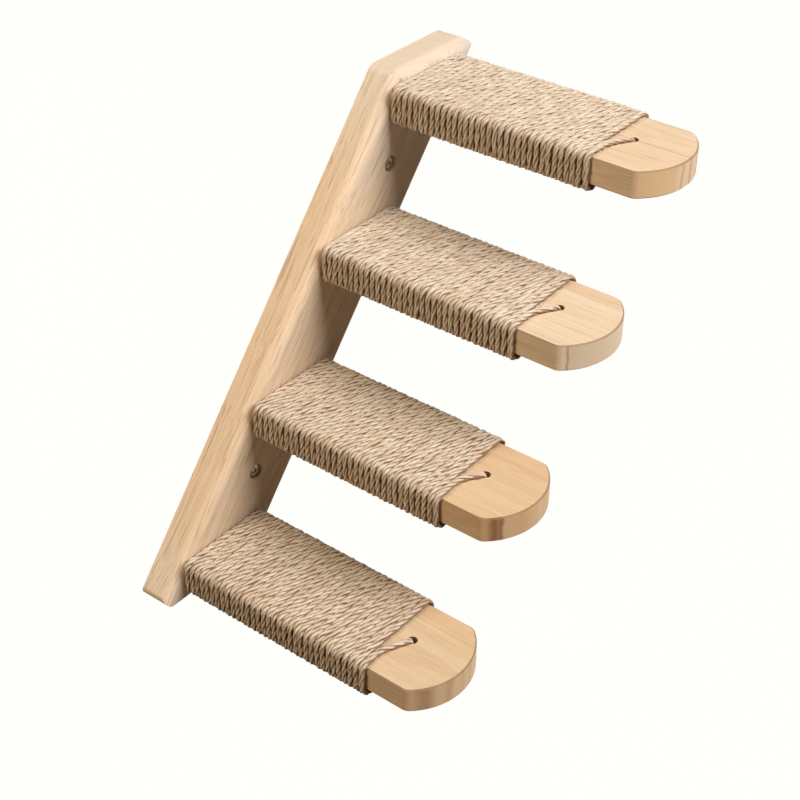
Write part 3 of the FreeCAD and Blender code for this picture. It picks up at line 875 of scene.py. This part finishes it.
jute = {
    "pale": (0.86, 0.775, 0.65),
    "straw": (0.73, 0.595, 0.455),
    "patch": (130, 130, 130),  # cycles per metre
    "patchRange": (0.3, 0.7),
    "brown": (0.31, 0.165, 0.075),
    "fibre": (14, 1.1, 1),  # cycles round a strand and along its map
    "fibreRange": (0.5, 0.72),
    "fibreDepth": 0.7,
    "grooveRange": (0.0, 0.9),
    "grooveDepth": 0.9,
    "roughRange": (0.2, 0.8),
    "roughness": (0.78, 0.95),
    "specular": 0.05,
    "sheen": 0.03,
    "sheenRoughness": 0.5,
    "bump": (0.6, 0.2 * mm),  # strength and distance
}


def makeJute():
    material, tree, shader = newMaterial("twistedJute")
    strand = addNode(tree, "UVMap", uv_map="strandUV").outputs["UV"]
    fibre = stretchedNoise(tree, strand, jute["fibre"], detail=4.0, roughness=0.65)
    patch = stretchedNoise(tree, objectPlace(tree), jute["patch"], detail=3.0, roughness=0.6)
    colour = blendColour(tree, fitRange(tree, patch, jute["patchRange"]), jute["pale"], jute["straw"])
    thread = fitRange(tree, fibre, jute["fibreRange"], (0.0, jute["fibreDepth"]))
    colour = blendColour(tree, thread, colour, jute["brown"])
    # painted shade: the grooves between strands and between turns are darkened towards brown
    crown = addNode(tree, "Attribute", attribute_name="crown").outputs["Fac"]
    grooveShade = fitRange(tree, crown, jute["grooveRange"], (jute["grooveDepth"], 0.0))
    surface = {
        "Base Color": blendColour(tree, grooveShade, colour, jute["brown"]),
        "Roughness": fitRange(tree, fibre, jute["roughRange"], jute["roughness"]),
        "Specular IOR Level": jute["specular"],
        "Sheen Weight": jute["sheen"],
        "Sheen Roughness": jute["sheenRoughness"],
        "Normal": bumpNormal(tree, fibre, jute["bump"]),
    }
    setInputs(tree, shader, surface)
    return material


twistedJute = makeJute()
for step in steps:
    cord = makeCord(step)
    cord.data.materials.append(twistedJute)
    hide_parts(f"jute_wrap_{step}")
    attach(cord, "root")
print("cords wound")


studio = {
    "floorZ": -0.55,
    "floorSize": 12.0,
    "floorColour": (0.18, 0.14, 0.10),
    "floorRoughness": 0.9,
    "floorGlow": 1.025,  # brings the open floor up to the backdrop's white
    "shadowShare": 0.03,
    "backdrop": (1.0, 1.0, 0.965),
    "airColour": (1.0, 0.92, 0.8),
    "airStrength": 0.02,
    "lampTarget": (0, -0.1, 0),
}


# 1 for what the camera sees, also in a gloss or through glass, and 0 for light on the part
def seenShare(tree):
    path = addNode(tree, "LightPath").outputs
    indirect = calc(tree, "MAXIMUM", path["Is Glossy Ray"], path["Is Transmission Ray"])
    return calc(tree, "MAXIMUM", path["Is Camera Ray"], indirect)


def mixSurfaces(tree, share, first, second, output):
    mix = addNode(tree, "MixShader", {0: share, 1: first.outputs[0], 2: second.outputs[0]})
    tree.links.new(mix.outputs[0], tree.nodes[output].inputs["Surface"])


def makeFloor():
    half = studio["floorSize"] / 2
    mesh = bpy.data.meshes.new("floor")
    corners = [(-half, -half, 0), (half, -half, 0), (half, half, 0), (-half, half, 0)]
    mesh.from_pydata(corners, [], [(0, 1, 2, 3)])
    floor = bpy.data.objects.new("floor", mesh)
    floor.location.z = studio["floorZ"]
    scene.collection.objects.link(floor)
    material, tree, shader = newMaterial("paleFloor")
    surface = {
        "Base Color": rgba(studio["floorColour"]),
        "Roughness": studio["floorRoughness"],
        "Specular IOR Level": 0.0,
    }
    setInputs(tree, shader, surface)
    glow = addNode(tree, "Emission", {"Color": rgba(studio["backdrop"]), "Strength": studio["floorGlow"]})
    share = times(tree, seenShare(tree), 1.0 - studio["shadowShare"])
    mixSurfaces(tree, share, shader, glow, "Material Output")
    mesh.materials.append(material)


def makeWorld():
    world = bpy.data.worlds.new("studioAir")
    world.use_nodes = True
    tree = world.node_tree
    air = tree.nodes["Background"]
    setInputs(tree, air, {"Color": rgba(studio["airColour"]), "Strength": studio["airStrength"]})
    white = addNode(tree, "Background", {"Color": rgba(studio["backdrop"]), "Strength": 1.0})
    mixSurfaces(tree, seenShare(tree), air, white, "World Output")
    scene.world = world


def aim(thing, place, target):
    thing.location = place
    thing.rotation_mode = "QUATERNION"
    thing.rotation_quaternion = (Vector(target) - Vector(place)).to_track_quat("-Z", "Y")


lamps = {
    "highFront": {"place": (0.30, -1.52, 1.66), "size": 1.2, "power": 47.2, "colour": (1.0, 0.985, 0.97)},
    "rightFront": {"place": (0.85, -1.9, 1.0), "size": 0.6, "power": 1.5, "colour": (1.0, 0.84, 0.66)},
    "back": {"place": (0.3, 1.9, 0.0), "size": 1.0, "power": 21.0, "colour": (1.0, 0.95, 0.88)},
    "leftSide": {"place": (-1.45, 0.4, 1.3), "size": 0.8, "power": 19.3, "colour": (1.0, 0.79, 0.55)},
}


def makeLamps():
    for name, lamp in lamps.items():
        light = bpy.data.lights.new(name, "AREA")
        light.shape = "DISK"
        light.size = lamp["size"]
        light.energy = lamp["power"]
        light.color = lamp["colour"]
        holder = bpy.data.objects.new(name, light)
        scene.collection.objects.link(holder)
        aim(holder, lamp["place"], studio["lampTarget"])


photoCamera = {
    "place": (-0.70098, -0.64034, 0.59309),
    "target": (0.02487, -0.07417, -0.06227),
    "roll": 0.401,  # degrees
    "lens": 71.23,
    "sensor": 36.0,
    "clipStart": 0.01,
}


def makeCamera():
    camera = bpy.data.cameras.new("photoCamera")
    camera.sensor_width = photoCamera["sensor"]
    camera.lens = photoCamera["lens"]
    camera.clip_start = photoCamera["clipStart"]
    holder = bpy.data.objects.new("photoCamera", camera)
    scene.collection.objects.link(holder)
    aim(holder, photoCamera["place"], photoCamera["target"])
    roll = Quaternion((0, 0, 1), math.radians(photoCamera["roll"]))
    holder.rotation_quaternion = holder.rotation_quaternion @ roll
    scene.camera = holder


makeFloor()
makeWorld()
makeLamps()
makeCamera()
print("studio set")
